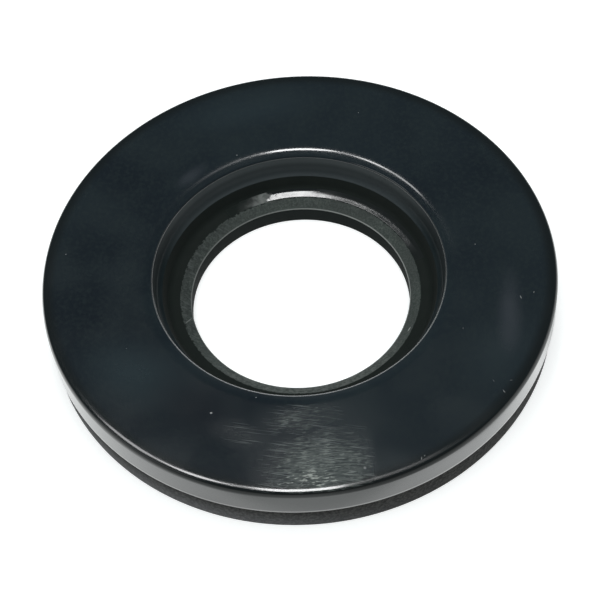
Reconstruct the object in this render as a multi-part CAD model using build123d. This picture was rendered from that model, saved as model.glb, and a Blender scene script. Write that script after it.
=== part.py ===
"""Moulded rubber ring gasket: one piece, turned symmetrical about the Z axis.

Z = 0 is the flat underside. The top face carries a tapered recess that steps
down over a narrow ledge, a shoulder and a sloping land to the bore. Outside, a
straight wall stands above the mould's parting line and a set-back foot band,
leaning in to the underside, below it.
"""
from build123d import *
import os
from math import radians, tan

# ---- Overall sizes, millimetres ------------------------------------------------
outer_d = 80.0        # across the smooth outer wall
bore_d = 34.4         # the clear hole, which stretches over a 35 mm pipe or shaft
thickness = 10.0      # underside to top face

# ---- Outer rim -----------------------------------------------------------------
rim_round = 0.9       # convex edge between the top face and the outer wall
parting_h = 4.7       # mould parting line, above the underside
foot_setback = 0.35   # step inwards from the outer wall to the foot band
foot_draft = 3.0      # lean of the foot band inwards to the underside, degrees

# ---- Steps round the bore, each width measured along the radius ------------------
land_h = 3.9          # top edge of the land, above the underside
land_w = 1.74         # land that slopes down to the bore
land_drop = 1.0       # its fall
shoulder_w = 1.4      # shoulder between the land and the recess wall
shoulder_fall = 8.0   # slope of the shoulder towards the bore, degrees
land_round = 0.3      # convex edge between the shoulder and the land

# ---- Wall and mouth of the recess -----------------------------------------------
foot_fillet = 1.0     # concave corner between the shoulder and the lower wall
lower_wall_h = 2.0    # from that corner up to the crease in the wall
lower_draft = 31.0    # lean of the wall below the crease, degrees
ledge_w = 0.78        # narrow ledge that starts at the crease
ledge_rise = 12.6     # its slope up towards the upper wall, degrees
ledge_fillet = 1.0    # concave corner between the ledge and the upper wall
upper_draft = 8.5     # lean of the wall above the ledge, degrees
mouth_round = 0.45    # convex edge at the mouth of the recess
bevel_h = 0.4         # drop of the bevel from the top face to the mouth edge
bevel_w = 1.47        # its width along the radius
face_round = 5.0      # soft convex edge between the top face and the bevel

outer_r = outer_d / 2
foot_top_r = outer_r - foot_setback
foot_r = foot_top_r - parting_h * tan(radians(foot_draft))
bore_r = bore_d / 2
land_r = bore_r + land_w
corner_r = land_r + shoulder_w
corner_z = land_h + shoulder_w * tan(radians(shoulder_fall))
crease_z = corner_z + lower_wall_h
crease_r = corner_r + lower_wall_h * tan(radians(lower_draft))
ledge_r = crease_r + ledge_w
ledge_z = crease_z + ledge_w * tan(radians(ledge_rise))
mouth_z = thickness - bevel_h
mouth_r = ledge_r + (mouth_z - ledge_z) * tan(radians(upper_draft))


def section():
    """Half section of the ring in the XZ plane, with its edges rounded."""
    corners = {
        "bore_foot": (bore_r, 0),
        "foot": (foot_r, 0),
        "foot_top": (foot_top_r, parting_h),
        "parting": (outer_r, parting_h),
        "rim": (outer_r, thickness),
        "face_edge": (mouth_r + bevel_w, thickness),
        "mouth": (mouth_r, mouth_z),
        "ledge": (ledge_r, ledge_z),
        "crease": (crease_r, crease_z),
        "recess_corner": (corner_r, corner_z),
        "land_top": (land_r, land_h),
        "bore_top": (bore_r, land_h - land_drop),
    }
    rounds = {
        "rim": rim_round,
        "face_edge": face_round,
        "mouth": mouth_round,
        "ledge": ledge_fillet,
        "recess_corner": foot_fillet,
        "land_top": land_round,
    }
    with BuildSketch(Plane.XZ) as profile:
        with BuildLine():
            Polyline(*corners.values(), close=True)
        make_face()
        for name, radius in rounds.items():
            corner = profile.vertices().sort_by_distance((*corners[name], 0))[0]
            fillet(corner, radius)
    return profile.sketch


ring = revolve(section(), axis=Axis.Z)
ring.label = "gasket"

os.makedirs("parts", exist_ok=True)
export_step(ring, "parts/gasket.step")
print(f"gasket: volume {ring.volume:.0f} mm3, box {ring.bounding_box().size}")
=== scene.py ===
"""Moulded rubber ring gasket, dressed for looks, on a pale studio floor."""
from math import atan2, cos, degrees, pi, radians, sin, tan

import bmesh
import bpy
from mathutils import Matrix, Vector


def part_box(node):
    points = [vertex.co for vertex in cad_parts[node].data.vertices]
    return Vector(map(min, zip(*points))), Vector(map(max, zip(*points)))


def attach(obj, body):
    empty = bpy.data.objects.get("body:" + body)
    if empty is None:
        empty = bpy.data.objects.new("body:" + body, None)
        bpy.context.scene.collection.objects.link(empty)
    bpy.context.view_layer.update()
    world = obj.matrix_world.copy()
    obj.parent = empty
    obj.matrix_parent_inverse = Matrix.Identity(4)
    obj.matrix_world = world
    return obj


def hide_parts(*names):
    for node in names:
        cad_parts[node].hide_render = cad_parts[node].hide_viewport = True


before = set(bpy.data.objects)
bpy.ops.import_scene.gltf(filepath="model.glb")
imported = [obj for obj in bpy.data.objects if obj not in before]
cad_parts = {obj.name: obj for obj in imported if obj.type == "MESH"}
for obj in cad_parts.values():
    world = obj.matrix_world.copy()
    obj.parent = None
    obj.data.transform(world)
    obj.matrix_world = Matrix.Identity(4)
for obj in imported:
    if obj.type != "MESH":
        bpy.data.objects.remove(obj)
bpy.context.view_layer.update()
MM = 0.001

# ---- The ring's sizes ----------------------------------------------------------
_, high_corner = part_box("gasket")
outer_r = high_corner.x
thickness = high_corner.z
bore_r = 17.2 * MM
parting_z = 4.7 * MM
foot_setback = 0.25 * MM
foot_lean = radians(3)
land_z = 3.9 * MM
land_w = 1.74 * MM
land_drop = 1.0 * MM
shoulder_w = 1.75 * MM
shoulder_fall = radians(8)
lower_wall_h = 2.0 * MM
lower_lean = radians(23)
ledge_w = 0.78 * MM
ledge_fall = radians(12.6)
mouth_lean = radians(8.5)
bevel_h = 0.40 * MM
bevel_w = 1.47 * MM
lip_w = 0.04 * MM
lip_h = 0.45 * MM
rim_w = 0.32 * MM
rim_lean = radians(28)
crown_w = 0.54 * MM
crown_fall = radians(6)

foot_top_r = outer_r - foot_setback
foot_r = foot_top_r - parting_z * tan(foot_lean)
land_r = bore_r + land_w
bore_top_z = land_z - land_drop
corner_r = land_r + shoulder_w
corner_z = land_z + shoulder_w * tan(shoulder_fall)
crease_r = corner_r + lower_wall_h * tan(lower_lean)
crease_z = corner_z + lower_wall_h
ledge_r = crease_r + ledge_w
ledge_z = crease_z + ledge_w * tan(ledge_fall)
mouth_z = thickness - bevel_h
rim_z = thickness - crown_w * tan(crown_fall)
mouth_r = ledge_r + (mouth_z - ledge_z) * tan(mouth_lean)

# name: (radius, height, round, steps round it), in order round the section
SECTION = {
    "bore_foot": (bore_r, 0, 0.1 * MM, 3),
    "foot": (foot_r, 0, 0.2 * MM, 4),
    "foot_top": (foot_top_r, parting_z, 0.05 * MM, 3),
    "parting": (outer_r - lip_w, parting_z, 0.06 * MM, 4),
    "lip": (outer_r, parting_z + lip_h, 1.0 * MM, 4),
    "rim_foot": (outer_r, rim_z - rim_w / tan(rim_lean), 1.95 * MM, 12),
    "rim": (outer_r - rim_w, rim_z, 0.33 * MM, 8),
    "crown": (outer_r - rim_w - crown_w, thickness, 6.5 * MM, 8),
    "face_edge": (mouth_r + bevel_w, thickness, 5.0 * MM, 12),
    "mouth": (mouth_r, mouth_z, 0.5 * MM, 10),
    "wall_foot": (ledge_r, ledge_z, 0.9 * MM, 10),
    "crease": (crease_r, crease_z, 0.25 * MM, 6),
    "recess_corner": (corner_r, corner_z, 1.3 * MM, 10),
    "land_top": (land_r, land_z, 0.7 * MM, 6),
    "bore_top": (bore_r, bore_top_z, 0.09 * MM, 4),
}
STEPS_ROUND = 288
MERGE_GAP = 1e-7

# the sink in the shoulder: degrees round the ring, depth, and how far it reaches past the shoulder
SINK_START, SINK_BOTTOM, SINK_END = 84, 108, 124
SINK_DEPTH = 0.12 * MM
SINK_PAST_LAND, SINK_PAST_CORNER, SINK_BELOW_LAND = 0.6 * MM, 0.9 * MM, 0.5 * MM

# where the shoulder has a satin skin of its own, in degrees round the ring
SATIN_START, SATIN_END = 12, 122


# ---- The ring's shape ------------------------------------------------------------
def rounded_corner(bm, before, corner, after, radius, steps):
    """An arc that touches the two runs of the section at a corner. Returns its end verts."""
    back = (before - corner).normalized()
    on = (after - corner).normalized()
    half = back.angle(on) / 2
    centre = corner + (back + on).normalized() * radius / sin(half)
    start = bm.verts.new(corner + back * radius / tan(half))
    arm = start.co - centre
    axis = arm.cross(corner + on * radius / tan(half) - centre)
    spun = bmesh.ops.spin(bm, geom=[start], cent=centre, axis=axis, angle=pi - 2 * half, steps=steps)
    end = [v for v in spun["geom_last"] if isinstance(v, bmesh.types.BMVert)][0]
    return start, end


def turned_ring():
    """The ring's section, turned about Z."""
    bm = bmesh.new()
    corners = [Vector((r, 0, z)) for r, z, _, _ in SECTION.values()]
    arcs = []
    for i, (_, _, radius, steps) in enumerate(SECTION.values()):
        after = corners[(i + 1) % len(corners)]
        arcs.append(rounded_corner(bm, corners[i - 1], corners[i], after, radius, steps))
    for i, (_, end) in enumerate(arcs):
        bm.edges.new((end, arcs[(i + 1) % len(arcs)][0]))
    bmesh.ops.spin(bm, geom=bm.verts[:] + bm.edges[:], cent=(0, 0, 0), axis=(0, 0, 1),
                   angle=2 * pi, steps=STEPS_ROUND, use_merge=True)
    bmesh.ops.remove_doubles(bm, verts=bm.verts[:], dist=MERGE_GAP)
    bmesh.ops.recalc_face_normals(bm, faces=bm.faces[:])
    return bm


def ease(value, low, high):
    """0 at low, 1 at high, soft at both ends."""
    t = min(max((value - low) / (high - low), 0), 1)
    return t * t * (3 - 2 * t)


def turn_round(point):
    """Degrees round the ring, from +X towards +Y."""
    return degrees(atan2(point.y, point.x))


def sink_shoulder(bm):
    """A shallow sink in the shoulder, which deepens slowly from the right and ends short on the left."""
    inner = land_r - SINK_PAST_LAND
    outer = corner_r + SINK_PAST_CORNER
    for vert in bm.verts:
        r = vert.co.xy.length
        turn = turn_round(vert.co)
        in_reach = inner < r < outer and vert.co.z > land_z - SINK_BELOW_LAND
        if not (in_reach and SINK_START < turn < SINK_END):
            continue
        if turn < SINK_BOTTOM:
            along = ((turn - SINK_START) / (SINK_BOTTOM - SINK_START)) ** 2
        else:
            along = 1 - ease(turn, SINK_BOTTOM, SINK_END)
        across = ease(r, inner, land_r) * (1 - ease(r, corner_r, outer))
        vert.co.z -= SINK_DEPTH * along * across


def skin_of(face):
    """The skin that a face of the ring has. Each border lies just past the corner that it follows."""
    middle = face.calc_center_median()
    r = middle.xy.length
    on_foot = r > foot_r - 1 * MM
    faces_down = face.normal.z < -0.5
    if middle.z < parting_z - 0.01 * MM and (on_foot or faces_down):
        return "dull"
    if r < bore_r + 0.05 * MM and middle.z < bore_top_z - 0.06 * MM:
        return "bore"
    if r < land_r:
        return "dull"
    if r >= mouth_r - 0.1 * MM:
        return "polished"
    if middle.z < corner_z + 0.05 * MM and SATIN_START < turn_round(middle) < SATIN_END:
        return "shoulder"
    return "lower_wall" if middle.z < crease_z - 0.05 * MM else "upper_wall"


def add_object(name, bm):
    """A new object in the scene, with this shape."""
    mesh = bpy.data.meshes.new(name)
    bm.to_mesh(mesh)
    bm.free()
    made = bpy.data.objects.new(name, mesh)
    bpy.context.scene.collection.objects.link(made)
    return made


# ---- Nodes -----------------------------------------------------------------------
# how far a patch and a lump of drawn-out noise reach up and down
PATCH_REACH_Z = 20 * MM
DRAWN_OUT_Z = 10 * MM


class Nodes:
    """Makes and joins the nodes of one tree."""

    def __init__(self, tree, coordinates):
        self.nodes, self.links = tree.nodes, tree.links
        self.nodes.clear()
        self.place = self.nodes.new("ShaderNodeTexCoord").outputs[coordinates]

    def put(self, source, socket):
        """Joins an output to a socket, or sets the socket's value."""
        if hasattr(source, "is_output"):
            self.links.new(source, socket)
        else:
            socket.default_value = source

    def mapped(self, centre=(0, 0, 0), turn=0, scale=(1, 1, 1)):
        """The coordinates from a centre, on axes turned about Z by degrees, in steps of the scale."""
        node = self.nodes.new("ShaderNodeMapping")
        node.vector_type = "TEXTURE"
        node.inputs["Location"].default_value = centre
        node.inputs["Rotation"].default_value = (0, 0, radians(turn))
        node.inputs["Scale"].default_value = scale
        self.links.new(self.place, node.inputs["Vector"])
        return node.outputs[0]

    def axis(self, name):
        """X, Y or Z of the coordinates."""
        node = self.nodes.new("ShaderNodeSeparateXYZ")
        self.links.new(self.place, node.inputs[0])
        return node.outputs[name]

    def length(self, vector):
        node = self.nodes.new("ShaderNodeVectorMath")
        node.operation = "LENGTH"
        self.links.new(vector, node.inputs[0])
        return node.outputs["Value"]

    def radius(self, centre=(0, 0)):
        """Distance from an upright axis through a centre, with Z shrunk to nothing."""
        return self.length(self.mapped(centre=(*centre, 0), scale=(1, 1, 1e6)))

    def patch(self, x, y, reach_x, reach_y, turn=0, soft=1.0, level=thickness):
        """1 inside an ellipse on a level face, falling to 0 at its edge. Millimetres and degrees."""
        reach = (reach_x * MM, reach_y * MM, PATCH_REACH_Z)
        flat = self.mapped((x * MM, y * MM, level), turn, reach)
        return self.span(self.length(flat), 1.0, 1.0 - soft)

    def patches(self, rows, soft=1.0):
        """The strongest of several patches, each given as x, y, reach_x, reach_y, turn, strength."""
        strongest = 0.0
        for *ellipse, strength in rows:
            strongest = self.most(self.times(self.patch(*ellipse, soft=soft), strength), strongest)
        return strongest

    def noise(self, size, detail=2.0, rough=0.5, vector=None, warp=0.0):
        """Noise whose lumps are about this size."""
        node = self.nodes.new("ShaderNodeTexNoise")
        self.links.new(vector or self.place, node.inputs["Vector"])
        node.inputs["Scale"].default_value = 1 / size
        node.inputs["Detail"].default_value = detail
        node.inputs["Roughness"].default_value = rough
        node.inputs["Distortion"].default_value = warp
        return node.outputs["Fac"]

    def drawn_out(self, long, short, turn, **kind):
        """Noise with long, narrow lumps, turned about Z by degrees."""
        return self.noise(1.0, vector=self.mapped(turn=turn, scale=(long, short, DRAWN_OUT_Z)), **kind)

    def math(self, kind, a, b=0.0, c=0.0):
        node = self.nodes.new("ShaderNodeMath")
        node.operation = kind
        for source, socket in zip((a, b, c), node.inputs):
            self.put(source, socket)
        return node.outputs[0]

    def times(self, a, b):
        return self.math("MULTIPLY", a, b)

    def times_plus(self, a, b, c):
        return self.math("MULTIPLY_ADD", a, b, c)

    def most(self, a, b):
        return self.math("MAXIMUM", a, b)

    def one_less(self, a):
        """1 - a."""
        return self.math("SUBTRACT", 1.0, a)

    def span(self, value, low, high, to_low=0.0, to_high=1.0, smooth=True):
        """Maps low..high onto to_low..to_high, held at both ends."""
        node = self.nodes.new("ShaderNodeMapRange")
        node.interpolation_type = "SMOOTHSTEP" if smooth else "LINEAR"
        self.put(value, node.inputs["Value"])
        limits = {"From Min": low, "From Max": high, "To Min": to_low, "To Max": to_high}
        for socket, number in limits.items():
            node.inputs[socket].default_value = number
        return node.outputs[0]

    def blend(self, amount, a, b, kind="MIX"):
        """Colour a where the amount is 0, and colour b where it is 1."""
        node = self.nodes.new("ShaderNodeMix")
        node.data_type = "RGBA"
        node.blend_type = kind
        self.put(amount, node.inputs[0])
        for colour, socket in ((a, node.inputs[6]), (b, node.inputs[7])):
            self.put(colour if hasattr(colour, "is_output") else (*colour, 1), socket)
        return node.outputs[2]


class Finish(Nodes):
    """A material whose skin is one Principled shader."""

    def __init__(self, name, **skin_values):
        self.material = bpy.data.materials.new(name)
        self.material.use_nodes = True
        super().__init__(self.material.node_tree, "Object")
        self.skin = self.nodes.new("ShaderNodeBsdfPrincipled")
        out = self.nodes.new("ShaderNodeOutputMaterial")
        self.links.new(self.skin.outputs["BSDF"], out.inputs["Surface"])
        for socket, value in skin_values.items():
            self.set(socket.replace("_", " "), value)

    def set(self, socket, source):
        """Joins an output to the skin's socket, or sets the socket's value."""
        self.put(source, self.skin.inputs[socket])

    def bump(self, height, depth, after=None):
        """A bump of this depth in metres for heights of 0 to 1."""
        node = self.nodes.new("ShaderNodeBump")
        node.inputs["Strength"].default_value = 1.0
        node.inputs["Distance"].default_value = depth
        self.links.new(height, node.inputs["Height"])
        if after:
            self.links.new(after, node.inputs["Normal"])
        self.set("Normal", node.outputs[0])
        return node.outputs[0]


# ---- Polished skin: the top face, the bevel and the outer wall -----------------------
# faint hazes: x, y, reach_x, reach_y, turn, strength
HAZES = (
    (-26.2, -16.5, 12.5, 8.5, -30, 0.75),
    (29.0, -19.0, 8.0, 11.0, -30, 0.3),
    (-6.0, 33.0, 17.0, 5.5, 8, 0.45),
)
# flecks of dust, some long and thin: x, y, reach_x, reach_y, turn, strength
FLECKS = (
    (-14.7, -24.8, 0.26, 0.20, 0, 0.95),
    (-7.9, -22.7, 0.16, 0.10, 30, 0.7),
    (-36.1, 6.8, 0.16, 0.10, 0, 0.7),
    (33.4, -8.8, 0.10, 0.42, 10, 0.8),
    (35.5, -8.1, 0.10, 0.25, -20, 0.5),
    (21.3, 3.8, 0.12, 0.10, 0, 0.6),
    (27.7, 1.9, 0.14, 0.14, 0, 0.6),
    (28.7, -25.4, 0.10, 0.42, 22, 0.6),
    (30.0, -23.6, 0.30, 0.08, 0, 0.35),
    (27.4, -23.4, 0.08, 0.30, 20, 0.25),
    (15.4, -35.6, 0.09, 0.32, -15, 0.7),
    (15.9, -35.2, 0.08, 0.18, -30, 0.6),
    (-8.3, 23.8, 0.14, 0.14, 0, 0.7),
    (7.1, -36.4, 0.28, 0.34, 20, 0.55),
    (-27.0, -12.0, 0.14, 0.08, 0, 0.22),
    (12.0, 30.5, 0.10, 0.12, 0, 0.6),
    (24.0, -13.6, 0.10, 0.14, 0, 0.4),
)


def clouded_black(rubber, clouds):
    """The clean polished rubber: blue-black, with slow drifts, clouds and a fine speckle."""
    drifts = rubber.noise(24 * MM, detail=1)
    speckle = rubber.noise(0.6 * MM, detail=3)
    tone = rubber.blend(rubber.span(drifts, 0.35, 0.65), (0.0036, 0.0068, 0.0098), (0.0078, 0.0130, 0.0160))
    tone = rubber.blend(rubber.span(clouds, 0.4, 0.66, 0, 0.5), tone, (0.0100, 0.0170, 0.0185))
    return rubber.blend(rubber.span(speckle, 0.40, 0.72, 0, 0.4), tone, (0.0160, 0.0240, 0.0230))


def hazed(rubber, tone):
    """The tone with faint pale hazes, a dark patch at the front left and a dark rim."""
    streaks = rubber.drawn_out(7.0 * MM, 0.5 * MM, -3)
    haze = rubber.times(rubber.patches(HAZES), rubber.span(streaks, 0.35, 0.65, 0.94, 1.0))
    tone = rubber.blend(haze, tone, (0.0215, 0.0345, 0.0385))
    dark_patch = rubber.patch(-16.0, -24.0, 11.0, 8.5, turn=-35)
    tone = rubber.blend(dark_patch, tone, (0.0034, 0.0060, 0.0085))
    rim_shade = rubber.span(rubber.radius(), 37.5 * MM, 39.2 * MM)
    return rubber.blend(rim_shade, tone, (0.0042, 0.0062, 0.0056))


def scuffs_with_painted_sheen(rubber, tone):
    """Scuffs from handling on the front of the top face, heaviest beside the rim. Their pale colour is
    partly real wear and partly painted highlight: the lamp's sheen on the worn front is painted into the
    tone.

    Returns the tone, how worn each place is (wear and painted sheen alike), and the light scuffs alone,
    which are partly painted sheen.
    """
    on_face = rubber.span(rubber.axis("Z"), thickness - 0.25 * MM, thickness - 0.10 * MM)
    wear_and_sheen_mask = rubber.patch(0.8, -35.0, 12.8, 9.8, soft=0.8)
    wear_and_sheen_mask = rubber.times(wear_and_sheen_mask, rubber.span(rubber.axis("X"), 7.6 * MM, 9.4 * MM, 1.0, 0.0))
    wear_and_sheen_mask = rubber.times(wear_and_sheen_mask, rubber.span(rubber.axis("Y"), -37.5 * MM, -26.0 * MM, 1.0, 0.6))
    nearer_recess = rubber.patch(-1.6, -27.2, 9.5, 4.4, turn=6, soft=0.9)
    arm_on_left = rubber.patch(-10.0, -29.0, 7.8, 3.4, turn=-22)
    wear_and_sheen_mask = rubber.most(wear_and_sheen_mask, rubber.times(nearer_recess, 0.62))
    wear_and_sheen_mask = rubber.most(wear_and_sheen_mask, rubber.times(arm_on_left, 0.42))
    wear_and_sheen_mask = rubber.times(wear_and_sheen_mask, on_face)
    heavy_wear_and_sheen = rubber.times(rubber.patch(-1.0, -37.6, 8.5, 3.2, soft=0.9), on_face)

    clumps = rubber.noise(2.6 * MM, detail=2, rough=0.6)
    grit = rubber.drawn_out(1.8 * MM, 0.26 * MM, -3, detail=3, rough=0.65, warp=0.2)
    dashes = rubber.drawn_out(1.2 * MM, 0.28 * MM, -2, detail=2, rough=0.6, warp=0.2)
    scratches = rubber.drawn_out(6.0 * MM, 0.20 * MM, -14, detail=1, rough=0.6)
    clumped_grit = rubber.times_plus(wear_and_sheen_mask, 0.36, rubber.times_plus(clumps, 0.25, grit))
    clumped_dashes = rubber.times_plus(clumps, 0.5, dashes)
    scuff_film_and_sheen = rubber.times(rubber.span(wear_and_sheen_mask, 0.0, 0.8), rubber.span(clumped_grit, 0.72, 1.12))
    light_scuffs_and_sheen = rubber.times(wear_and_sheen_mask, rubber.span(rubber.times_plus(wear_and_sheen_mask, 0.22, clumped_dashes), 0.96, 1.10))
    bright_scuffs_and_glint = rubber.times(heavy_wear_and_sheen, rubber.span(rubber.times_plus(heavy_wear_and_sheen, 0.34, clumped_dashes), 1.04, 1.18))
    scratch_lines_and_glint = rubber.times(rubber.span(wear_and_sheen_mask, 0.0, 0.5), rubber.span(scratches, 0.60, 0.68))

    # painted highlight: these pale scuff tones stand partly for the lamp's sheen on the worn front, and
    # partly for real wear
    tone = rubber.blend(scuff_film_and_sheen, tone, (0.084, 0.098, 0.090))
    tone = rubber.blend(rubber.times(light_scuffs_and_sheen, 0.6), tone, (0.200, 0.222, 0.204))
    tone = rubber.blend(rubber.times(scratch_lines_and_glint, 0.5), tone, (0.160, 0.178, 0.172))
    tone = rubber.blend(rubber.times(bright_scuffs_and_glint, 0.7), tone, (0.440, 0.470, 0.425))
    return tone, wear_and_sheen_mask, light_scuffs_and_sheen


def polished_rubber():
    """Glossy blue-black, with the hazes, scuffs, dust and smudges of handling; the scuffs' pale colour is
    partly a painted highlight.
    """
    rubber = Finish("polished_rubber", IOR=1.5, Specular_IOR_Level=0.3,
                    Coat_Weight=1.0, Coat_Roughness=0.07, Coat_IOR=1.5)
    clouds = rubber.noise(10 * MM, detail=1.5, rough=0.45)
    tone = hazed(rubber, clouded_black(rubber, clouds))
    tone, wear_and_sheen_mask, light_scuffs_and_sheen = scuffs_with_painted_sheen(rubber, tone)
    flecks = rubber.patches(FLECKS, soft=0.8)
    tone = rubber.blend(flecks, tone, (0.32, 0.33, 0.32))
    smudge = rubber.most(rubber.patch(31.4, -11.5, 2.6, 10.0, turn=-8),
                         rubber.patch(-15.6, 20.5, 1.6, 4.2, turn=-50, soft=0.9))
    smudge = rubber.times(smudge, rubber.span(clouds, 0.3, 0.6, 0.4, 1.0))
    rubber.set("Base Color", rubber.blend(smudge, tone, (0.033, 0.039, 0.045)))

    rough = rubber.span(clouds, 0.3, 0.7, 0.14, 0.21)
    rough = rubber.times_plus(wear_and_sheen_mask, 0.24, rough)
    rubber.set("Roughness", rubber.times_plus(flecks, 0.4, rough))
    relief = rubber.bump(rubber.noise(4.5 * MM), 0.010 * MM)
    relief = rubber.bump(rubber.noise(0.4 * MM), 0.0012 * MM, after=relief)
    rubber.bump(light_scuffs_and_sheen, 0.002 * MM, after=relief)
    return rubber.material


# ---- Recess walls and shoulder -------------------------------------------------------
def upper_wall_rubber():
    """The wall under the mouth, and the ledge: satin, with a painted reflection that makes it paler at the
    back.
    """
    rubber = Finish("recess_rubber", IOR=1.45, Specular_IOR_Level=0.2, Specular_Tint=(0.82, 0.95, 1.0, 1))
    clouds = rubber.noise(5 * MM, detail=3, rough=0.6)
    tone = rubber.blend(rubber.span(clouds, 0.3, 0.7), (0.0080, 0.0125, 0.0135), (0.0120, 0.0175, 0.0185))
    # painted reflection: the back of the wall gets paler tones for the sheen it shows there
    back_sheen_mask = rubber.span(rubber.axis("Y"), 4 * MM, 16 * MM)
    painted_sheen_low = rubber.times(rubber.span(rubber.axis("Z"), 8.3 * MM, 7.2 * MM), back_sheen_mask)
    tone = rubber.blend(painted_sheen_low, tone, (0.0320, 0.0390, 0.0405))
    painted_sheen_high = rubber.times(rubber.span(rubber.axis("Z"), 7.4 * MM, 8.8 * MM), back_sheen_mask)
    rubber.set("Base Color", rubber.blend(painted_sheen_high, tone, (0.0540, 0.0630, 0.0640)))
    rubber.set("Roughness", rubber.span(clouds, 0.3, 0.7, 0.36, 0.42))
    rubber.bump(rubber.noise(0.6 * MM), 0.003 * MM)
    return rubber.material


def lower_wall_rubber():
    """The wall under the crease, and the shoulder where it isn't satin: dark and matt."""
    rubber = Finish("lower_wall_rubber", IOR=1.4, Specular_IOR_Level=0.08, Roughness=0.5)
    clouds = rubber.noise(3 * MM, detail=3, rough=0.6)
    rubber.set("Base Color", rubber.blend(clouds, (0.0100, 0.0132, 0.0118), (0.0150, 0.0188, 0.0168)))
    rubber.bump(rubber.noise(0.6 * MM), 0.003 * MM)
    return rubber.material


def shoulder_rubber():
    """Satin, rougher at its ends and its outer right half, with a rough patch on the left painted pale, a
    painted highlight that fades to the left.
    """
    rubber = Finish("shoulder_rubber", IOR=1.5, Specular_IOR_Level=0.5)
    clouds = rubber.noise(2.5 * MM, detail=3, rough=0.6)
    lumps = rubber.noise(0.8 * MM)
    ragged_x = rubber.times_plus(lumps, 2.8 * MM, rubber.axis("X"))
    dulled = rubber.span(ragged_x, -3.1 * MM, -2.0 * MM, 1.0, 0.0)
    # painted highlight: a pale tone, fading to the left, stands for the sheen where the shoulder's
    # highlight ends
    painted_glow_smear = rubber.times(rubber.span(ragged_x, -6.4 * MM, -2.2 * MM),
                         rubber.span(lumps, 0.35, 0.6, 0.55, 1.0))
    clean = rubber.blend(clouds, (0.0060, 0.0085, 0.0080), (0.0100, 0.0130, 0.0125))
    painted_glow_tone = rubber.blend(painted_glow_smear, (0.0070, 0.0105, 0.0088), (0.1550, 0.1700, 0.1600))
    rubber.set("Base Color", rubber.blend(dulled, clean, painted_glow_tone))

    outer_half = rubber.times(rubber.span(rubber.radius(), land_r + 0.50 * MM, land_r + 1.10 * MM),
                              rubber.span(rubber.axis("X"), 2 * MM, 10 * MM))
    ends = rubber.most(rubber.span(rubber.axis("Y"), 9.5 * MM, 5.0 * MM),
                       rubber.span(rubber.axis("X"), -7.0 * MM, -9.5 * MM))
    dry = rubber.most(rubber.times(dulled, 0.45), rubber.times(rubber.most(outer_half, ends), 0.75))
    rubber.set("Roughness", rubber.math("ADD", dry, rubber.span(clouds, 0.3, 0.7, 0.085, 0.14)))
    ragged = rubber.patch(-3.0, 19.6, 2.4, 1.6, level=corner_z)
    relief = rubber.bump(lumps, 0.004 * MM)
    rubber.bump(rubber.times(lumps, ragged), 0.018 * MM, after=relief)
    return rubber.material


# ---- Bore wall -------------------------------------------------------------------
def bore_rubber():
    """Dark and matt, with a fine grain."""
    rubber = Finish("bore_rubber", IOR=1.4, Specular_IOR_Level=0.1)
    grain = rubber.noise(0.6 * MM, detail=3, rough=0.6)
    rubber.set("Base Color", rubber.blend(grain, (0.0080, 0.0115, 0.0108), (0.0240, 0.0285, 0.0270)))
    rubber.set("Roughness", rubber.span(grain, 0.3, 0.7, 0.65, 0.8))
    rubber.bump(grain, 0.01 * MM)
    return rubber.material


# ---- Dull skin: the land, the foot band and the underside ----------------------------
def land_tone(rubber, grain, coarse):
    """Grey and grainy, patchy and streaked at the left, pale at the front, dark past the outer edge."""
    stain = rubber.noise(5 * MM, detail=3)
    tone = rubber.blend(rubber.span(grain, 0.35, 0.72), (0.036, 0.045, 0.041), (0.096, 0.112, 0.101))
    tone = rubber.blend(rubber.span(stain, 0.35, 0.7, 0, 0.45), tone, (0.042, 0.046, 0.044))
    patchy = rubber.times(rubber.span(coarse, 0.42, 0.62),
                          rubber.span(rubber.axis("X"), -6 * MM, -15 * MM, 0.15, 0.85))
    tone = rubber.blend(patchy, tone, (0.030, 0.036, 0.034))
    streaks = rubber.drawn_out(1.5 * MM, 0.4 * MM, -20, detail=3, rough=0.6)
    at_left = rubber.span(rubber.axis("X"), -6 * MM, -14 * MM)
    streaked = rubber.times(at_left, rubber.span(streaks, 0.52, 0.70, 0, 0.7))
    tone = rubber.blend(streaked, tone, (0.092, 0.106, 0.100))
    at_front = rubber.times(rubber.span(rubber.axis("Y"), -6 * MM, -16 * MM, 0.0, 0.6),
                            rubber.span(coarse, 0.40, 0.60))
    tone = rubber.blend(at_front, tone, (0.150, 0.162, 0.150))
    fuzz = rubber.times(rubber.math("SUBTRACT", coarse, 0.5),
                        rubber.span(rubber.axis("X"), -4 * MM, 6 * MM, 1.8 * MM, 0.6 * MM))
    fuzzy_r = rubber.math("ADD", fuzz, rubber.radius())
    past_land = rubber.span(fuzzy_r, land_r - 0.10 * MM, land_r + 0.04 * MM)
    return rubber.blend(past_land, tone, (0.012, 0.016, 0.014))


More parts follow.
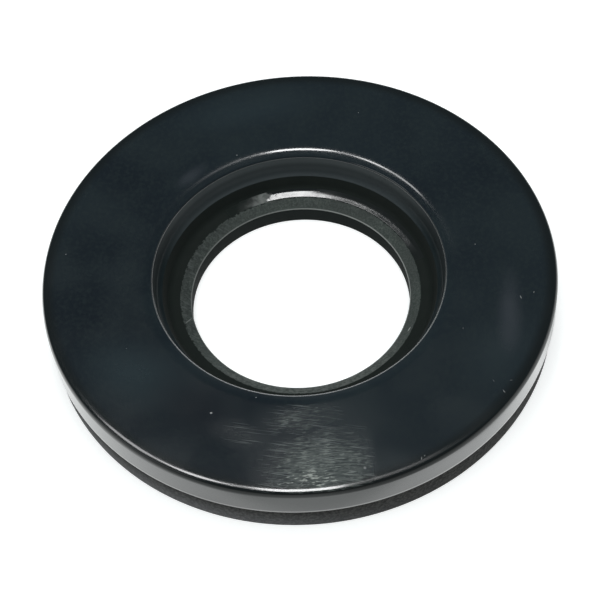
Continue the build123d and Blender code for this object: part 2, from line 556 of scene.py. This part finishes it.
def foot_tone(rubber, grain, coarse):
    """The foot band, mottled, with painted light from the floor and the left making it paler low down on
    the left. The underside is dark.
    """
    on_right = rubber.span(rubber.axis("X"), -20 * MM, 24 * MM, 0.0, 0.85)
    low_down = rubber.times(rubber.span(rubber.axis("Z"), 4.2 * MM, 0.1 * MM, smooth=False),
                            rubber.one_less(on_right))
    mottled = rubber.blend(rubber.span(coarse, 0.42, 0.60), (0.002, 0.002, 0.0015), (0.040, 0.039, 0.035))
    # painted light: the paler tone low down on the left stands for light bounced from the floor and a lamp
    # on the left
    painted_bounce_light = rubber.blend(rubber.span(coarse, 0.38, 0.66), (0.145, 0.145, 0.146), (0.225, 0.225, 0.228))
    underside = rubber.blend(grain, (0.016, 0.018, 0.017), (0.040, 0.043, 0.041))
    beneath = rubber.span(rubber.axis("Z"), 0.10 * MM, 0.02 * MM)
    return rubber.blend(beneath, rubber.blend(low_down, mottled, painted_bounce_light), underside)


def dull_rubber():
    """Matt and grainy, with a pale line round the bore's edge that is a painted highlight, and a nick and a
    hair on the land.
    """
    rubber = Finish("dull_rubber", IOR=1.45, Specular_IOR_Level=0.2)
    grain = rubber.noise(0.3 * MM, detail=4, rough=0.75)
    coarse = rubber.noise(0.5 * MM, detail=4, rough=0.65)
    outside = rubber.span(rubber.radius(), land_r, foot_r - 1 * MM)
    tone = rubber.blend(outside, land_tone(rubber, grain, coarse), foot_tone(rubber, grain, coarse))
    # painted highlight: a pale line along the bore's top edge, brighter on the right
    painted_bore_edge_glint = rubber.times(rubber.span(rubber.radius(), bore_r + 0.19 * MM, bore_r + 0.09 * MM),
                        rubber.span(rubber.axis("Z"), 2.4 * MM, 2.7 * MM))
    painted_bore_edge_glint = rubber.times(painted_bore_edge_glint, rubber.span(rubber.axis("X"), -8 * MM, 12 * MM, 0.5, 0.9))
    tone = rubber.blend(painted_bore_edge_glint, tone, (0.270, 0.285, 0.270))
    nick = rubber.patch(16.3, -8.6, 0.12, 0.6, turn=-35, soft=0.7, level=land_z)
    hair = rubber.patch(-17.8, -3.3, 0.08, 1.3, turn=-35, soft=0.7, level=land_z)
    marks = rubber.most(nick, rubber.times(hair, 0.5))
    rubber.set("Base Color", rubber.blend(marks, tone, (0.34, 0.36, 0.34)))
    rubber.set("Roughness", rubber.span(grain, 0.3, 0.7, 0.7, 0.9))
    rubber.bump(grain, 0.03 * MM)
    return rubber.material


# ---- The ring ------------------------------------------------------------------
skins = {
    "polished": polished_rubber(),
    "dull": dull_rubber(),
    "upper_wall": upper_wall_rubber(),
    "bore": bore_rubber(),
    "shoulder": shoulder_rubber(),
    "lower_wall": lower_wall_rubber(),
}
skin_order = list(skins)
ring_shape = turned_ring()
sink_shoulder(ring_shape)
for face in ring_shape.faces:
    face.material_index = skin_order.index(skin_of(face))
    face.smooth = True
ring = add_object("ring", ring_shape)
for material in skins.values():
    ring.data.materials.append(material)
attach(ring, "root")
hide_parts("gasket")


# ---- Floor ---------------------------------------------------------------------
def floor_paint():
    """Matt and pale. The rubber mirrors it dimmer in front, a painted shadow, and dimmer on the right and
    from a near edge outwards.
    """
    paint = Finish("floor_paint", Roughness=0.9, Emission_Color=(1, 1, 1, 1))
    rays = paint.nodes.new("ShaderNodeLightPath").outputs
    mirrored = paint.most(rays["Is Glossy Ray"], rays["Is Transmission Ray"])
    from_ring = paint.radius(centre=(-6.5 * MM, 1.0 * MM))
    on_right = paint.span(paint.axis("X"), -5 * MM, 12 * MM)
    past_left = paint.span(paint.axis("X"), -18 * MM, -5 * MM, 0.85, 1.0)
    # painted shadow: the floor as the rubber mirrors it is dimmer in front of the ring
    painted_shadow_in_front = paint.span(paint.axis("Y"), -44.5 * MM, -40.5 * MM, 0.26, 0.68)
    past_edge = paint.span(from_ring, 49.1 * MM, 49.5 * MM, 0.0, 0.76)
    not_far = paint.span(from_ring, 100 * MM, 140 * MM, 1.0, 0.0)
    fading = paint.times(paint.span(from_ring, 62 * MM, 95 * MM, 1.0, 0.2),
                         paint.span(from_ring, 95 * MM, 150 * MM, 1.0, 0.4))
    fading = paint.times(fading, past_left)
    beyond = paint.times(paint.times(past_edge, not_far), paint.times_plus(on_right, 0.4, 0.6))
    beside = paint.times(paint.span(paint.axis("Y"), -17 * MM, -9 * MM, 0.0, 0.45), on_right)
    dimmed = paint.most(beyond, beside)

    in_gloss = paint.times(paint.times(painted_shadow_in_front, fading), paint.one_less(dimmed))
    in_gloss = paint.times(mirrored, in_gloss)
    paint.set("Emission Strength", paint.times_plus(rays["Is Camera Ray"], 0.58, in_gloss))
    sheet = paint.times(fading, paint.times_plus(dimmed, -0.6, 1.0))
    sheet = paint.one_less(paint.times(mirrored, paint.one_less(sheet)))
    paint.set("Base Color", paint.blend(sheet, (0, 0, 0), (0.70, 0.73, 0.715)))
    return paint.material


FLOOR_REACH = 3
floor_shape = bmesh.new()
bmesh.ops.create_grid(floor_shape, x_segments=1, y_segments=1, size=FLOOR_REACH)
floor = add_object("floor", floor_shape)
floor.data.materials.append(floor_paint())

# ---- World: a soft room, pale near the horizon and dim above ---------------------
# sine of the elevation: colour
ROOM_LEVELS = {
    0.0: (0.88, 0.95, 0.92),
    0.17: (0.42, 0.43, 0.44),
    0.34: (0.13, 0.15, 0.17),
    0.6: (0.085, 0.115, 0.140),
    1.0: (0.10, 0.12, 0.14),
}


def light_room(world):
    """Pale low down and dim above, darker towards the camera, with a glow low down at the rear."""
    world.use_nodes = True
    room = Nodes(world.node_tree, "Generated")
    by_level = room.nodes.new("ShaderNodeValToRGB")
    room.put(room.axis("Z"), by_level.inputs[0])
    stops = by_level.color_ramp.elements
    stops.remove(stops[1])
    for level, colour in ROOM_LEVELS.items():
        stop = stops.new(level) if level else stops[0]
        stop.color = (*colour, 1)
    to_right = room.most(room.axis("X"), 0)
    past_camera_side = room.span(room.times_plus(to_right, -0.53, room.axis("Y")), -0.85, -0.35)
    walls = room.blend(past_camera_side, (0.09, 0.105, 0.12), by_level.outputs["Color"])
    low_down = room.span(room.axis("Z"), 0.0, 0.36, 1.0, 0.0, smooth=False)
    at_rear = room.span(room.axis("Y"), 0.62, 0.9, smooth=False)
    lit = room.blend(room.times(low_down, at_rear), walls, (3.0, 3.1, 3.15), kind="ADD")
    background = room.nodes.new("ShaderNodeBackground")
    room.put(lit, background.inputs["Color"])
    out = room.nodes.new("ShaderNodeOutputWorld")
    room.put(background.outputs[0], out.inputs["Surface"])


bpy.context.scene.world = bpy.data.worlds.new("studio")
light_room(bpy.context.scene.world)

# ---- Lamps ---------------------------------------------------------------------
# name: (azimuth, elevation, distance, width, height, radiance, mirrored)
# azimuth 0 is the camera's side and 90 the right
LAMPS = {
    "key": (183, 70.5, 1.2, 0.11, 0.13, 21, True),
    "key_glow": (190, 69, 1.2, 0.46, 0.12, 0.75, True),
    "key_fringe": (164, 69, 1.2, 0.22, 0.10, 0.3, True),
    "key_tail": (200.5, 67.6, 1.2, 0.09, 0.08, 12, True),
    "key_tip": (205.5, 63.3, 1.2, 0.10, 0.10, 6, True),
    "left_panel": (-65, 30, 1.4, 0.9, 0.6, 0.8, True),
    "overhead": (0, 80, 1.6, 1.6, 1.6, 2.6, False),
}


def hang_lamp(name, azimuth, elevation, distance, width, height, radiance, mirrored):
    """A soft rectangular lamp that faces the ring."""
    data = bpy.data.lights.new(name, "AREA")
    data.shape = "RECTANGLE"
    data.size, data.size_y = width, height
    data.energy = radiance * pi * width * height
    lamp = bpy.data.objects.new(name, data)
    lamp.visible_glossy = mirrored
    bpy.context.scene.collection.objects.link(lamp)
    a, e = radians(azimuth), radians(elevation)
    from_ring = Vector((sin(a) * cos(e), -cos(a) * cos(e), sin(e)))
    lamp.location = from_ring * distance
    lamp.rotation_euler = from_ring.to_track_quat("Z", "Y").to_euler()


for name, setting in LAMPS.items():
    hang_lamp(name, *setting)

# ---- Camera --------------------------------------------------------------------
CAMERA_ELEVATION = radians(54.80)
CAMERA_ROLL = radians(-4.947)
# where the camera sees the centre of the top face, on its own axes, in steps of 40 mm
TOP_CENTRE_SEEN = Vector((-0.0063, 0.1187, -7.936)) * (40 * MM)

camera_data = bpy.data.cameras.new("camera")
camera_data.lens = 123
camera_data.sensor_width = 36
camera = bpy.data.objects.new("camera", camera_data)
bpy.context.scene.collection.objects.link(camera)
aim = Matrix.Rotation(pi / 2 - CAMERA_ELEVATION, 4, "X") @ Matrix.Rotation(CAMERA_ROLL, 4, "Z")
camera.matrix_world = Matrix.Translation((0, 0, thickness)) @ aim @ Matrix.Translation(-TOP_CENTRE_SEEN)
bpy.context.scene.camera = camera

bpy.context.scene.view_settings.view_transform = "Standard"
bpy.context.view_layer.update()
